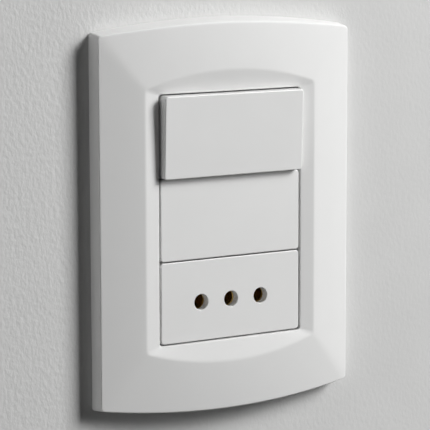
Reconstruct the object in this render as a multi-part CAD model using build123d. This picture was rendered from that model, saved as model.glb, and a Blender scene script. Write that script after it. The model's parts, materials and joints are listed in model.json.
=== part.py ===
from build123d import *
import math
import os

# A switch and socket combination in millimetres: X to the right, Z up, the room at -Y.
# The wall is the plane Y = 0 and the origin is the middle of the row of modules on it.

# Modules, one above the other in the row
module_pitch = 22.5
module_width = 44.3
module_gap = 0.3
face_out = 6.4
face_wall = 2.3
face_edge_r = 0.3
face_corner_r = 1.0
side_wall = 2.1
long_wall = 1.3
snap_depth = 0.8
snap_gap = 0.1
snap_slack = 0.05
rear_step = 0.2

# Cover plate: its outline at the wall, then the ridge on its face, then the opening
plate_width = 80.2
plate_height = 107.6
plate_arch = 3.2
plate_draft = 0.5
plate_corner_r = 1.2
plate_edge_r = 1.1
plate_wall = 2.0
ridge_width = 53.8
ridge_height = 79.7
ridge_arch = 4.4
opening_side_gap = 0.3
opening_end_gap = 0.35
opening_corner_r = 1.1

# How far the plate's lines stand out of the wall at its sides, and how far the crown adds
rim_out = 4.8
rim_crown = 1.8
ridge_out = 6.95
ridge_crown = 0.9
opening_out = 6.45
opening_crown = 0.4

# Mounting frame: a flange on the wall, with room to the plate's walls, and a collar
frame_side_room = 5.1
frame_end_room = 0.6
frame_corner_r = 4.0
flange_thick = 2.0
collar_out = 4.2
collar_wall = 1.5
window_gap = 0.2

# Snap hooks of the plate and the ledges on the collar that they hold
hook_length = 8.0
hook_spacing = 40.0
hook_thick = 1.5
hook_reach = 0.45
hook_gap = 0.15
hook_play = 0.1
hook_tip = 0.6
ledge_out = 0.6
ledge_thick = 0.6
hook_end_gap = 0.6

# Screws into the wall box
box_screw_spacing = 83.5
box_screw_r = 1.75
box_screw_length = 20.0
box_screw_neck_r = 1.5
box_screw_neck_back = 0.5
box_screw_head_r = 3.4
box_screw_head_h = 2.0
box_screw_slack = 0.4
box_screw_travel = 3.0
box_screw_slot = 0.9
box_screw_slot_depth = 1.1

# Rocker key, drawn level and then tilted
key_width = 43.8
key_height = 21.9
key_out = 8.75
key_wall = 1.6
key_skirt = 3.6
key_edge_r = 0.3
key_corner_r = 0.8
key_tilt = 2.25
key_rib_length = 20.0
key_rib_thick = 1.2
key_rib_depth = 2.0
key_rib_gap = 0.1

# Rocker under the key, and the bearings of its pivot
pivot_out = 2.6
pivot_pin_r = 1.5
pivot_pin_length = 3.0
pivot_end_gap = 0.2
bearing_gap = 0.05
bearing_wall = 1.1
bearing_mouth = 2.4
carrier_width = 34.0
carrier_height = 15.0
carrier_thick = 1.6
hub_width = 28.0
hub_height = 5.2
hub_below_pivot = 2.0
barrel_r = 3.1
barrel_back = 4.0
housing_front = 4.2

# Spring and plunger in the rocker's barrel
spring_wire_r = 0.22
spring_turns = 5
spring_r = 1.6
spring_seat_out = 3.4
plunger_r = 1.9
plunger_gap = 0.05
plunger_front = 1.3
plunger_back = 7.35

# Contacts of the switch
strip_gap = 0.1
strip_thick = 0.8
strip_length = 15.0
strip_width = 4.8
strip_tilt = 6.0
rivet_r = 1.3
rivet_height = 0.6
rivet_offset = 6.0
knife_gap = 0.05
contact_gap = 0.08
strap_thick = 0.8
strap_width = 4.4
common_pad_height = 6.6

# Terminals at the back of the switch and of the socket
terminal_spacing = 14.0
terminal_pad = 8.4
terminal_screw_r = 1.5
terminal_screw_slack = 0.05
terminal_head_r = 2.7
terminal_head_h = 2.0
terminal_slot = 0.8
terminal_slot_depth = 1.0
terminal_window = 7.4
clamp_side = 6.8
clamp_thick = 1.0
clamp_room = 0.9
base_depth = 8.5
lip_wall = 1.2
lip_height = 1.0
lip_gap = 0.05

# Socket for three round pins in a line
pin_spacing = 9.5
pin_hole_r = 2.2
pin_row_drop = 0.5
sleeve_bore_r = 2.1
sleeve_wall = 0.6
sleeve_slit = 0.8
sleeve_front_gap = 0.3
sleeve_back = 13.5

# Blank module
blank_back = 3.0

# Worked out from the values above
module_height = module_pitch - module_gap
row_half_height = module_pitch + module_height / 2
switch_z = module_pitch
socket_z = -module_pitch
pin_row_z = socket_z - pin_row_drop
inner_width = module_width - 2 * side_wall
inner_height = module_height - 2 * long_wall
frame_width = plate_width - 2 * (plate_wall + frame_side_room)
frame_height = plate_height - 2 * (plate_wall + plate_arch + frame_end_room)
opening_width = module_width + 2 * opening_side_gap
opening_height = 2 * (row_half_height + opening_end_gap)
collar_half = module_width / 2 + window_gap + collar_wall
key_back = key_out - key_wall
carrier_back = key_back - carrier_thick
strip_front = plunger_back + strip_gap
strip_back = strip_front + strip_thick
strip_swing = (rivet_offset + rivet_r) * math.sin(math.radians(strip_tilt))
fixed_rivet_front = strip_back + rivet_height + strip_swing + contact_gap
switch_strap_front = fixed_rivet_front + rivet_height
switch_base_front = switch_strap_front + strap_thick
socket_base_front = sleeve_back + strap_thick
terminal_xs = [-terminal_spacing, 0, terminal_spacing]


def block(x0, x1, y0, y1, z0, z1):
    """A box between two corners."""
    return Pos((x0 + x1) / 2, (y0 + y1) / 2, (z0 + z1) / 2) * Box(x1 - x0, y1 - y0, z1 - z0)


def centred_block(width, y0, y1, height, x=0.0, z=0.0):
    """A box that is centred on a line along Y."""
    return block(x - width / 2, x + width / 2, y0, y1, z - height / 2, z + height / 2)


def rod(radius, y0, y1, x=0.0, z=0.0):
    """A round bar along Y."""
    return Pos(x, (y0 + y1) / 2, z) * Rot(90, 0, 0) * Cylinder(radius, y1 - y0)


def cross_rod(radius, x0, x1, y, z):
    """A round bar along X."""
    return Pos((x0 + x1) / 2, y, z) * Rot(0, 90, 0) * Cylinder(radius, x1 - x0)


def rounded_prism(width, height, radius, y0, y1, x=0.0, z=0.0):
    """A rectangle with round corners, carried along Y."""
    bar = centred_block(width, y0, y1, height, x, z)
    return fillet(bar.edges().filter_by(Axis.Y), radius)


def round_front(shape, radius):
    """The shape with the edges of its foremost face rounded."""
    return fillet(shape.faces().sort_by(Axis.Y)[0].edges(), radius)


def outline(half_width, corner_z, apex_z, side_out, apex_out):
    """Left, top, right and bottom edges of a crowned outline with arched ends."""
    corners = {
        (sx, sz): Vector(sx * half_width, -side_out, sz * corner_z)
        for sx in (-1, 1)
        for sz in (-1, 1)
    }
    top = Vector(0, -apex_out, apex_z)
    bottom = Vector(0, -apex_out, -apex_z)
    return [
        Edge.make_line(corners[-1, -1], corners[-1, 1]),
        Edge.make_three_point_arc(corners[-1, 1], top, corners[1, 1]),
        Edge.make_line(corners[1, 1], corners[1, -1]),
        Edge.make_three_point_arc(corners[1, -1], bottom, corners[-1, -1]),
    ]


def plate_body(inset, drop):
    """The plate as a full body, with its sides moved in by inset and its face back by drop."""
    half = plate_width / 2 - inset
    front_half = half - plate_draft
    apex = plate_height / 2 - inset
    front_apex = apex - plate_draft
    wall_line = outline(half, apex - plate_arch, apex, 0, 0)
    rim_line = outline(
        front_half, front_apex - plate_arch, front_apex, rim_out - drop, rim_out + rim_crown - drop
    )
    ridge_line = outline(
        ridge_width / 2,
        ridge_height / 2 - ridge_arch,
        ridge_height / 2,
        ridge_out - drop,
        ridge_out + ridge_crown - drop,
    )
    opening_line = outline(
        opening_width / 2,
        opening_height / 2,
        opening_height / 2,
        opening_out - drop,
        opening_out + opening_crown - drop,
    )
    lines = [wall_line, rim_line, ridge_line, opening_line]
    faces = [
        Face.make_surface_from_curves(first, second)
        for outer, inner in zip(lines, lines[1:])
        for first, second in zip(outer, inner)
    ]
    bottom_line = opening_line[3]
    cap = Face.make_surface_from_curves(
        opening_line[1],
        Edge.make_three_point_arc(bottom_line @ 1, bottom_line @ 0.5, bottom_line @ 0),
    )
    faces.append(cap)
    faces.append(Face(Wire(wall_line)))
    return Solid(Shell(faces))


def samples(edge):
    """The two ends and the middle of an edge."""
    return [edge @ 0, edge @ 0.5, edge @ 1]


def is_rim_edge(edge):
    """Whether an edge runs round the plate's outer front edge."""
    beside = (ridge_width + plate_width) / 4
    beyond = (ridge_height + plate_height) / 4
    return all(
        (abs(point.X) > beside or abs(point.Z) > beyond) and -point.Y > rim_out / 2
        for point in samples(edge)
    )


def plate_hook(side, z):
    """A hook on the plate's underside that grips a ledge of the frame's collar."""
    inner = collar_half + ledge_out + hook_gap
    root = -opening_out + plate_wall / 2
    tip = -flange_thick - hook_end_gap
    barb_front = -collar_out + ledge_thick + hook_play
    z0 = z - hook_length / 2
    z1 = z + hook_length / 2
    arm = block(inner, inner + hook_thick, root, tip, z0, z1)
    barb = block(inner - hook_reach - hook_gap, inner, barb_front, barb_front + hook_tip, z0, z1)
    hook = arm + barb
    return hook if side > 0 else mirror(hook, Plane.YZ)


def wall_prism(depth):
    """The plate's outline at the wall with round corners, carried out into the room."""
    apex = plate_height / 2
    face = Face(Wire(outline(plate_width / 2, apex - plate_arch, apex, 0, 0)))
    prism = extrude(face, amount=depth, dir=(0, -1, 0))
    return fillet(prism.edges().filter_by(Axis.Y), plate_corner_r)


def make_cover_plate():
    """The plate that shows: a crowned face round the row of modules, hollow behind."""
    through = ridge_out + ridge_crown + plate_wall
    body = plate_body(0, 0)
    body = fillet([edge for edge in body.edges() if is_rim_edge(edge)], plate_edge_r)
    body &= wall_prism(through)
    body -= plate_body(plate_wall, plate_wall)
    body -= rounded_prism(opening_width, opening_height, opening_corner_r, -through, plate_wall)
    for side in (-1, 1):
        for end in (-1, 1):
            body += plate_hook(side, end * hook_spacing / 2)
    return body


def make_mounting_frame():
    """The frame that is screwed to the wall box and holds the modules and the plate."""
    slot_half = box_screw_r + box_screw_slack
    window_height = 2 * (row_half_height + window_gap)
    collar_height = window_height + 2 * collar_wall
    frame = rounded_prism(frame_width, frame_height, frame_corner_r, -flange_thick, 0)
    frame += centred_block(2 * collar_half, -collar_out, -flange_thick, collar_height)
    for side in (-1, 1):
        for end in (-1, 1):
            frame += centred_block(
                2 * ledge_out,
                -collar_out,
                -collar_out + ledge_thick,
                hook_length,
                side * collar_half,
                end * hook_spacing / 2,
            )
    ledge_window = module_width - 2 * (snap_depth - snap_gap)
    frame -= centred_block(ledge_window, -collar_out, 0, window_height)
    clear_window = module_width + 2 * window_gap
    frame -= centred_block(clear_window, -collar_out, -flange_thick, window_height)
    for end in (-1, 1):
        z = end * box_screw_spacing / 2
        frame -= centred_block(box_screw_travel, -flange_thick, 0, 2 * slot_half, 0, z)
        for side in (-1, 1):
            frame -= rod(slot_half, -flange_thick, 0, side * box_screw_travel / 2, z)
    return frame


def make_fixing_screws():
    """The two screws that hold the frame in the wall box."""
    head_front = -flange_thick - box_screw_head_h
    tip = -flange_thick + box_screw_length
    screws = []
    for end in (-1, 1):
        z = end * box_screw_spacing / 2
        screw = rod(box_screw_head_r, head_front, -flange_thick, 0, z)
        screw += rod(box_screw_neck_r, -flange_thick, box_screw_neck_back, 0, z)
        screw += rod(box_screw_r, box_screw_neck_back, tip, 0, z)
        screw -= centred_block(
            2 * box_screw_head_r, head_front, head_front + box_screw_slot_depth, box_screw_slot, 0, z
        )
        screws.append(screw)
    return Compound(screws)


def module_body(z, front, back):
    """A module's full outer form, with grooves in its sides for the edges of the frame's window."""
    groove_front = -flange_thick - snap_slack
    neck_width = module_width - 2 * snap_depth
    rear_width = module_width - 2 * rear_step
    body = rounded_prism(module_width, module_height, face_corner_r, front, groove_front, 0, z)
    body += centred_block(neck_width, groove_front, snap_slack, module_height, 0, z)
    body += centred_block(rear_width, snap_slack, back, module_height, 0, z)
    return body


def make_blank_module():
    """The middle module: a plain face with side walls, open behind."""
    body = round_front(module_body(0, -face_out, blank_back), face_edge_r)
    return body - centred_block(inner_width, -face_out + face_wall, blank_back, inner_height)


def make_socket_housing():
    """The lower module's casing, with three holes for round pins in its face."""
    body = round_front(module_body(socket_z, -face_out, socket_base_front), face_edge_r)
    hollow_front = -face_out + face_wall
    body -= centred_block(
        inner_width, hollow_front, socket_base_front, inner_height, 0, socket_z
    )
    for place in (-1, 0, 1):
        body -= rod(pin_hole_r, -face_out, hollow_front, place * pin_spacing, pin_row_z)
    return body


def make_switch_housing():
    """The upper module's casing, open in front, with two bearings that the rocker snaps into."""
    body = module_body(switch_z, -housing_front, switch_base_front)
    body -= centred_block(
        inner_width, -housing_front, switch_base_front, inner_height, 0, switch_z
    )
    hole_r = pivot_pin_r + bearing_gap
    eye_r = hole_r + bearing_wall
    cheek_inner = hub_width / 2 + pivot_end_gap
    cheek_outer = hub_width / 2 + pivot_pin_length
    cheek_back = switch_base_front - lip_height - window_gap
    z0 = switch_z - inner_height / 2
    z1 = switch_z + inner_height / 2
    mouth_z0 = switch_z - bearing_mouth / 2
    mouth_z1 = switch_z + bearing_mouth / 2
    for x0, x1 in ((-cheek_outer, -cheek_inner), (cheek_inner, cheek_outer)):
        body += block(x0, x1, -pivot_out, cheek_back, z0, z1)
        body += cross_rod(eye_r, x0, x1, -pivot_out, switch_z)
        body -= cross_rod(hole_r, x0, x1, -pivot_out, switch_z)
        body -= block(x0, x1, -pivot_out - eye_r, -pivot_out, mouth_z0, mouth_z1)
    return body


def turned(shape, degrees, y, z):
    """A shape turned about a line along X."""
    return Pos(0, y, z) * Rot(degrees, 0, 0) * Pos(0, -y, -z) * shape


def at_rest(shape):
    """A piece of the rocker, drawn level, turned to where it rests with its top end out."""
    return turned(shape, key_tilt, -pivot_out, switch_z)


def make_switch_key():
    """The key that is pressed, a shallow cap with two ribs that hold the rocker."""
    key = rounded_prism(
        key_width, key_height, key_corner_r, -key_out, -key_out + key_skirt, 0, switch_z
    )
    key = round_front(key, key_edge_r)
    room_width = key_width - 2 * key_wall
    room_height = key_height - 2 * key_wall
    key -= centred_block(
        room_width, -key_back, -key_out + key_skirt, room_height, 0, switch_z
    )
    rib_offset = carrier_height / 2 + key_rib_gap + key_rib_thick / 2
    for end in (-1, 1):
        key += centred_block(
            key_rib_length,
            -key_back,
            -key_back + key_rib_depth,
            key_rib_thick,
            0,
            switch_z + end * rib_offset,
        )
    return at_rest(key)


def make_switch_rocker():
    """The lever under the key: a plate, a hub with two pivot pins and a bored barrel."""
    hub_back = -pivot_out + hub_below_pivot
    pin_reach = hub_width / 2 + pivot_pin_length
    rocker = centred_block(carrier_width, -key_back, -carrier_back, carrier_height, 0, switch_z)
    rocker += centred_block(hub_width, -carrier_back, hub_back, hub_height, 0, switch_z)
    rocker += cross_rod(pivot_pin_r, -pin_reach, pin_reach, -pivot_out, switch_z)
    rocker += rod(barrel_r, -carrier_back, barrel_back, 0, switch_z)
    rocker -= rod(plunger_r + plunger_gap, -spring_seat_out, barrel_back, 0, switch_z)
    return at_rest(rocker)


def make_plunger():
    """The pin in the barrel that pushes on the moving contact, with a round nose."""
    nose_y = plunger_back - plunger_r
    plunger = rod(plunger_r, plunger_front, nose_y, 0, switch_z)
    plunger += Pos(0, nose_y, switch_z) * Sphere(plunger_r)
    return at_rest(plunger)


def make_spring():
    """The coil spring behind the plunger, shown at the length it has in the barrel."""
    start = -spring_seat_out + spring_wire_r
    length = plunger_front + spring_seat_out - 2 * spring_wire_r
    path = Helix(pitch=length / spring_turns, height=length, radius=spring_r)
    wire = sweep(Plane(path @ 0, z_dir=path % 0) * Circle(spring_wire_r), path)
    return at_rest(Pos(0, start, switch_z) * Rot(-90, 0, 0) * wire)


def make_moving_contact():
    """The contact strip that tips between the two fixed contacts, with a rivet at each end."""
    strip = centred_block(strip_width, strip_front, strip_back, strip_length, 0, switch_z)
    for end in (-1, 1):
        z = switch_z + end * rivet_offset
        strip += rod(rivet_r, strip_back, strip_back + rivet_height, 0, z)
    return turned(strip, -strip_tilt, strip_back, switch_z)


def strap_with_holes(strap, base_front, z, xs):
    """A strap on the front of a base, with a threaded hole for each terminal screw."""
    for x in xs:
        strap -= rod(
            terminal_screw_r + terminal_screw_slack, base_front - strap_thick, base_front, x, z
        )
    return strap


def make_common_terminal():
    """The middle terminal, whose knife edge carries the moving contact."""
    knife_tip = strip_back + knife_gap
    knife_half = switch_strap_front - knife_tip
    profile = make_face(
        Polyline(
            (0, switch_strap_front, switch_z - knife_half),
            (0, knife_tip, switch_z),
            (0, switch_strap_front, switch_z + knife_half),
            close=True,
        )
    )
    knife = Pos(-strip_width / 2, 0, 0) * extrude(profile, strip_width, dir=(1, 0, 0))
    pad = centred_block(
        terminal_pad, switch_strap_front, switch_base_front, common_pad_height, 0, switch_z
    )
    hole = rod(
        terminal_screw_r + terminal_screw_slack,
        switch_base_front - strap_thick,
        switch_base_front,
        0,
        switch_z,
    )
    return pad - hole + knife


def make_fixed_contact(x, end):
    """A fixed contact: a rivet at one end of the moving strip, on a strap to its terminal."""
    z = switch_z + end * rivet_offset
    far = x + math.copysign(terminal_pad / 2, x)
    near = -math.copysign(strap_width / 2, x)
    arm = block(
        min(far, near),
        max(far, near),
        switch_strap_front,
        switch_base_front,
        z - strap_width / 2,
        z + strap_width / 2,
    )
    pad = centred_block(
        terminal_pad, switch_strap_front, switch_base_front, terminal_pad, x, switch_z
    )
    rivet = rod(rivet_r, fixed_rivet_front, switch_strap_front, 0, z)
    return strap_with_holes(arm + pad + rivet, switch_base_front, switch_z, [x])


def make_pin_contact(place):
    """A slit sleeve for one round pin, on a strap to its terminal."""
    x = place * pin_spacing
    screw_x = place * terminal_spacing
    outer_r = sleeve_bore_r + sleeve_wall
    front = -face_out + face_wall + sleeve_front_gap
    sleeve = rod(outer_r, front, sleeve_back, x, pin_row_z)
    sleeve -= rod(sleeve_bore_r, front, sleeve_back, x, pin_row_z)
    slit_back = sleeve_back - 2 * sleeve_wall
    sleeve -= block(
        x - sleeve_slit / 2, x + sleeve_slit / 2, front, slit_back, pin_row_z, pin_row_z + outer_r
    )
    x0 = min(screw_x - terminal_pad / 2, x - outer_r)
    x1 = max(screw_x + terminal_pad / 2, x + outer_r)
    z0 = socket_z - terminal_pad / 2
    z1 = socket_z + terminal_pad / 2
    strap = block(x0, x1, sleeve_back, socket_base_front, z0, z1)
    return strap_with_holes(sleeve + strap, socket_base_front, socket_z, [screw_x])


def make_base(front, z):
    """A module's rear cover, with a window for each terminal and a lip that fits the casing."""
    back = front + base_depth
    base = centred_block(module_width - 2 * rear_step, front, back, module_height, 0, z)
    lip_width = inner_width - 2 * lip_gap
    lip_tall = inner_height - 2 * lip_gap
    base += centred_block(lip_width, front - lip_height, front, lip_tall, 0, z)
    base -= centred_block(
        lip_width - 2 * lip_wall, front - lip_height, front, lip_tall - 2 * lip_wall, 0, z
    )
    for x in terminal_xs:
        base -= centred_block(terminal_window, front, back, terminal_window, x, z)
    return base


def make_clamp_plates(base_front, z):
    """The square plates that press the wires on the terminals."""
    front = base_front + clamp_room
    hole_r = terminal_screw_r + terminal_screw_slack
    return Compound([
        centred_block(clamp_side, front, front + clamp_thick, clamp_side, x, z)
        - rod(hole_r, front, front + clamp_thick, x, z)
        for x in terminal_xs
    ])


def make_terminal_screws(base_front, z):
    """The screws of the clamp plates, threaded into the straps."""
    head_front = base_front + clamp_room + clamp_thick
    head_back = head_front + terminal_head_h
    return Compound([
        rod(terminal_screw_r, base_front - strap_thick, head_front, x, z)
        + rod(terminal_head_r, head_front, head_back, x, z)
        - centred_block(
            2 * terminal_head_r, head_back - terminal_slot_depth, head_back, terminal_slot, x, z
        )
        for x in terminal_xs
    ])


def make_parts():
    """Every piece, by its name."""
    return {
        "cover_plate": make_cover_plate(),
        "mounting_frame": make_mounting_frame(),
        "fixing_screws": make_fixing_screws(),
        "blank_module": make_blank_module(),
        "switch_key": make_switch_key(),
        "switch_rocker": make_switch_rocker(),
        "rocker_plunger": make_plunger(),
        "plunger_spring": make_spring(),
        "moving_contact": make_moving_contact(),
        "common_terminal": make_common_terminal(),
        "upper_fixed_contact": make_fixed_contact(-terminal_spacing, 1),
        "lower_fixed_contact": make_fixed_contact(terminal_spacing, -1),
        "switch_housing": make_switch_housing(),
        "switch_base": make_base(switch_base_front, switch_z),
        "switch_clamp_plates": make_clamp_plates(switch_base_front, switch_z),
        "switch_terminal_screws": make_terminal_screws(switch_base_front, switch_z),
        "socket_housing": make_socket_housing(),
        "left_pin_contact": make_pin_contact(-1),
        "earth_pin_contact": make_pin_contact(0),
        "right_pin_contact": make_pin_contact(1),
        "socket_base": make_base(socket_base_front, socket_z),
        "socket_clamp_plates": make_clamp_plates(socket_base_front, socket_z),
        "socket_terminal_screws": make_terminal_screws(socket_base_front, socket_z),
    }


if __name__ == "__main__":
    os.makedirs("parts", exist_ok=True)
    for name, shape in make_parts().items():
        export_step(shape, f"parts/{name}.step")
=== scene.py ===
"""Looks of the switch and socket combination: meshes, materials, wall, lamps and camera."""

import json
import math

import bmesh
import bpy
from bpy.props import FloatProperty, FloatVectorProperty, PointerProperty
from bpy.types import Operator, Panel, PropertyGroup
from mathutils import Matrix, Vector


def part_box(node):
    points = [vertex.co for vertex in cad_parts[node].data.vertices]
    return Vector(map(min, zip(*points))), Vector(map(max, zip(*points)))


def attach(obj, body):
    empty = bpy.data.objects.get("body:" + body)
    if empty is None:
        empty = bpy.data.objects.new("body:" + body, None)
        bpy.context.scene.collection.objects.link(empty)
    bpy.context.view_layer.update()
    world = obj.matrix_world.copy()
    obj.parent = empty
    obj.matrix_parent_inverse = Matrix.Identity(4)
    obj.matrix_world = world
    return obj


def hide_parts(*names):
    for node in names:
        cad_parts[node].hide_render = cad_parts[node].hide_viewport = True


bl_info = {
    "name": "Switch and socket combination",
    "version": (1, 0, 0),
    "blender": (4, 5, 0),
    "location": "View3D > Sidebar > Wall switch",
    "description": "Dresses a packed wall switch and socket and builds its stage",
    "category": "Object",
}

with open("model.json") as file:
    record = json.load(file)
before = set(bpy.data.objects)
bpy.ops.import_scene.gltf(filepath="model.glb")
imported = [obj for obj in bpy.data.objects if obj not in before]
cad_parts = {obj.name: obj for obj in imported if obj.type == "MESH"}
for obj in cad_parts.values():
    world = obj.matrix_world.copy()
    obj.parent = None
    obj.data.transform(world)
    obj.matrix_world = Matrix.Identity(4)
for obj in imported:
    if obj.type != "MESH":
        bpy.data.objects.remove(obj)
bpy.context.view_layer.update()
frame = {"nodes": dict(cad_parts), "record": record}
HALF_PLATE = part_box("cover_plate")[1]
MM = 0.001
# Points of a built mesh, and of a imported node, that are nearer than this become one
GRID_WELD = 0.0005 * MM
NODE_WELD = 0.001 * MM
# How far the cutter of a screw's slot stands out of the head
SLOT_PAST = 0.5 * MM
# Steps of the plate's section, from the wall over rim and ridge to the opening and back
FOOT_STEPS = 3
SIDE_RISE_STEPS = 3
RIM_STEPS = 8
SLOPE_STEPS = 8
RIDGE_STEPS = 8
BEVEL_STEPS = 4
EDGE_STEPS = 5
INNER_BEVEL_STEPS = 3
INNER_SLOPE_STEPS = 5


def srgb(code):
    """Linear red, green and blue of an sRGB hex colour."""
    values = [int(code[i : i + 2], 16) / 255 for i in (1, 3, 5)]
    return tuple(
        v / 12.92 if v <= 0.04045 else ((v + 0.055) / 1.055) ** 2.4 for v in values
    )


def length(name, description, millimetres):
    """A length setting, shown in the scene's units."""
    return FloatProperty(
        name=name,
        description=description,
        default=millimetres * MM,
        min=0.0,
        precision=5,
        unit="LENGTH",
    )


def colour(name, description, code):
    """A colour setting."""
    return FloatVectorProperty(
        name=name,
        description=description,
        default=srgb(code),
        min=0.0,
        max=1.0,
        size=3,
        subtype="COLOR",
    )


def place_of(name, description, metres):
    """A point in the frame of the model."""
    return FloatVectorProperty(
        name=name,
        description=description,
        default=metres,
        size=3,
        precision=6,
        subtype="TRANSLATION",
        unit="LENGTH",
    )


def watts(name, description, power):
    """The power of a lamp."""
    return FloatProperty(
        name=name, description=description, default=power, min=0.0, unit="POWER"
    )


def factor(name, description, value):
    """A plain number from 0 up."""
    return FloatProperty(
        name=name, description=description, default=value, min=0.0, subtype="FACTOR"
    )


class PlateSettings(PropertyGroup):
    """The cover plate's lines, roundings and finish."""

    arch: length("Arch", "Rise of the plate's top and bottom edges at the wall", 3.2)
    draft: length("Draft", "How far the sides lean in from the wall to the rim", 0.5)
    wall: length("Wall", "Thickness of the shell", 2.0)
    corner_radius: length("Corner radius", "Radius of the outline's corners", 0.9)
    rim_out: length("Rim out", "Height of the rim over the wall at the sides", 4.55)
    rim_crown: length("Rim crown", "What the rim gains in the middle", 2.2)
    rim_radius: length("Rim radius", "Rounding of the rim", 0.45)
    foot_radius: length("Foot radius", "Rounding of the edge on the wall", 0.3)
    top_lean: length("Top lean", "How much further the upper side leans in", 0.6)
    top_radius: length("Top radius", "Rounding of the rim along the top", 0.8)
    top_before: length("Top before", "Where the top's lean starts, below the corners", 2.0)
    top_fade: length("Top fade", "Height over which the top's lean comes in", 5.0)
    ridge_width: length("Ridge width", "Width of the ridge line", 53.8)
    ridge_height: length("Ridge height", "Height of the ridge line at its arches", 79.7)
    ridge_arch: length("Ridge arch", "Rise of the ridge's top and bottom", 4.4)
    ridge_out: length("Ridge out", "Height of the ridge over the wall at the sides", 6.95)
    ridge_crown: length("Ridge crown", "What the ridge gains in the middle", 0.9)
    ridge_blend: length("Ridge blend", "Half width of the ridge's rounding", 0.45)
    ridge_corner: length("Ridge corner", "Radius of the ridge's corners", 0.6)
    opening_width: length("Opening width", "Width of the opening for the modules", 45.2)
    opening_height: length("Opening height", "Height of the opening for the modules", 68.05)
    opening_out: length("Opening out", "Height of the opening's edge at the sides", 6.45)
    opening_crown: length("Opening crown", "What the opening's edge gains in the middle", 0.4)
    opening_corner: length("Opening corner", "Radius of the opening's corners", 1.1)
    opening_edge: length("Opening edge", "Rounding of the opening's front edge", 0.2)
    fold_outer: length("Outer fold", "Half width of the folds at the plate's corners", 2.3)
    fold_inner: length("Inner fold", "Half width of the folds at the ridge's corners", 0.7)
    swell: length("Swell", "How far the sloping faces bulge between rim and ridge", 0.08)
    hook_length: length("Hook length", "Length of a snap hook", 8.0)
    hook_spacing: length("Hook spacing", "Distance between the hooks of one side", 40.0)
    tint: colour("Colour", "Colour of the plate", "#E2E2E1")
    grain: length("Grain", "Width of one grain of the satin texture", 0.45)
    grain_depth: length("Grain depth", "Depth of the satin texture", 0.012)


class ModuleSettings(PropertyGroup):
    """The modules behind the plate."""

    tint: colour("Colour", "Colour of the key, the blank and the casings", "#E8E8E7")
    key_rise: length("Key rise", "How much taller the key's upper half is", 0.3)
    joint_gap: length("Joint gap", "Gap between the socket and the blank above it", 0.15)
    frame_tint: colour("Frame", "Colour of the mounting frame", "#8C9199")
    base_tint: colour("Bases", "Colour of the rear covers", "#4C4E52")
    rocker_tint: colour("Rocker", "Colour of the rocker and its plunger", "#EEECE6")
    hole_edge: length("Hole edge", "Rounding of the pin holes' front edges", 0.15)


class MetalSettings(PropertyGroup):
    """Contacts, screws and spring."""

    brass_tint: colour("Brass", "Colour of the contacts", "#D9B871")
    zinc_tint: colour("Zinc", "Colour of the plated screws and clamps", "#C9CACB")
    thread_depth: length("Thread depth", "Depth of the screws' threads", 0.25)
    box_pitch: length("Box screw pitch", "Pitch of the box screws' thread", 0.6)
    terminal_pitch: length("Terminal pitch", "Pitch of the terminal screws' thread", 0.5)


class StageSettings(PropertyGroup):
    """The wall, the lamps and the camera."""

    wall_tint: colour("Wall", "Colour of the painted wall", "#D5D5D4")
    wall_side: length("Wall side", "Side of the wall that is built", 3000.0)
    hole_width: length("Hole width", "Width of the wall's hole behind the plate", 75.2)
    hole_height: length("Hole height", "Height of the wall's hole behind the plate", 97.0)
    key_place: place_of("Key place", "Where the main lamp hangs", (1.327, -1.000, 1.113))
    key_power: watts("Key power", "Power of the main lamp, far off up to the right", 30.2)
    side_place: place_of("Side place", "Where the nearer lamp hangs", (0.709, -0.574, 0.410))
    side_power: watts("Side power", "Power of the nearer lamp on the right", 5.7)
    low_place: place_of("Low place", "Where the lower lamp hangs", (0.807, -0.574, 0.142))
    low_power: watts("Low power", "Power of the lower lamp on the right", 1.15)
    left_place: place_of("Left place", "Where the left fill hangs", (-0.998, -0.070, 0.0))
    left_power: watts("Left power", "Power of the soft fill on the left", 1.8)
    rear_place: place_of("Rear place", "Where the lamp behind the wall hangs", (0.15, 0.7, 0.3))
    rear_power: watts("Rear power", "Power of the lamp behind the wall", 5.0)
    lamp_spread: factor("Lamp spread", "Side of a lamp as a share of its distance", 0.38)
    ambient: factor("Ambient", "Strength of the room's even light", 0.02)
    room_tint: colour("Room", "Colour of the room that the camera and gloss see", "#E8E8E8")
    camera_place: place_of(
        "Camera place", "Where the camera stands", (-0.316122, -0.511562, 0.087985)
    )
    camera_aim: place_of(
        "Camera aim", "The point at the middle of the picture", (-0.00511, -0.0064, 0.000505)
    )
    camera_roll: FloatProperty(
        name="Camera roll",
        description="Turn of the camera about its line of sight",
        default=math.radians(-0.130),
        precision=4,
        subtype="ANGLE",
        unit="ROTATION",
    )
    camera_lens: FloatProperty(
        name="Lens",
        description="Focal length on a sensor 36 mm wide",
        default=185.585,
        min=1.0,
        unit="CAMERA",
    )


class SetSettings(PropertyGroup):
    """All settings of the object and its stage."""

    plate: PointerProperty(name="Cover plate", description="The plate", type=PlateSettings)
    modules: PointerProperty(name="Modules", description="The modules", type=ModuleSettings)
    metal: PointerProperty(name="Metal", description="The metal pieces", type=MetalSettings)
    stage: PointerProperty(name="Stage", description="The stage", type=StageSettings)


def add_node(tree, kind, settings=(), links=()):
    """Adds a node, gives it its settings and links outputs to its inputs."""
    node = tree.nodes.new(kind)
    for key, value in dict(settings).items():
        if isinstance(key, str) and hasattr(node, key):
            setattr(node, key, value)
        else:
            node.inputs[key].default_value = value
    for key, output in dict(links).items():
        tree.links.new(output, node.inputs[key])
    return node


def new_material(name):
    """A node material with nothing in it but the place on the object."""
    material = bpy.data.materials.new(name)
    material.use_nodes = True
    tree = material.node_tree
    tree.nodes.clear()
    return material, tree, add_node(tree, "ShaderNodeTexCoord").outputs["Object"]


def shade(tint, strength=1.0):
    """A linear colour or a darker or lighter tone of it, with its alpha."""
    return tuple(min(1.0, v * strength) for v in tint) + (1.0,)


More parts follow.
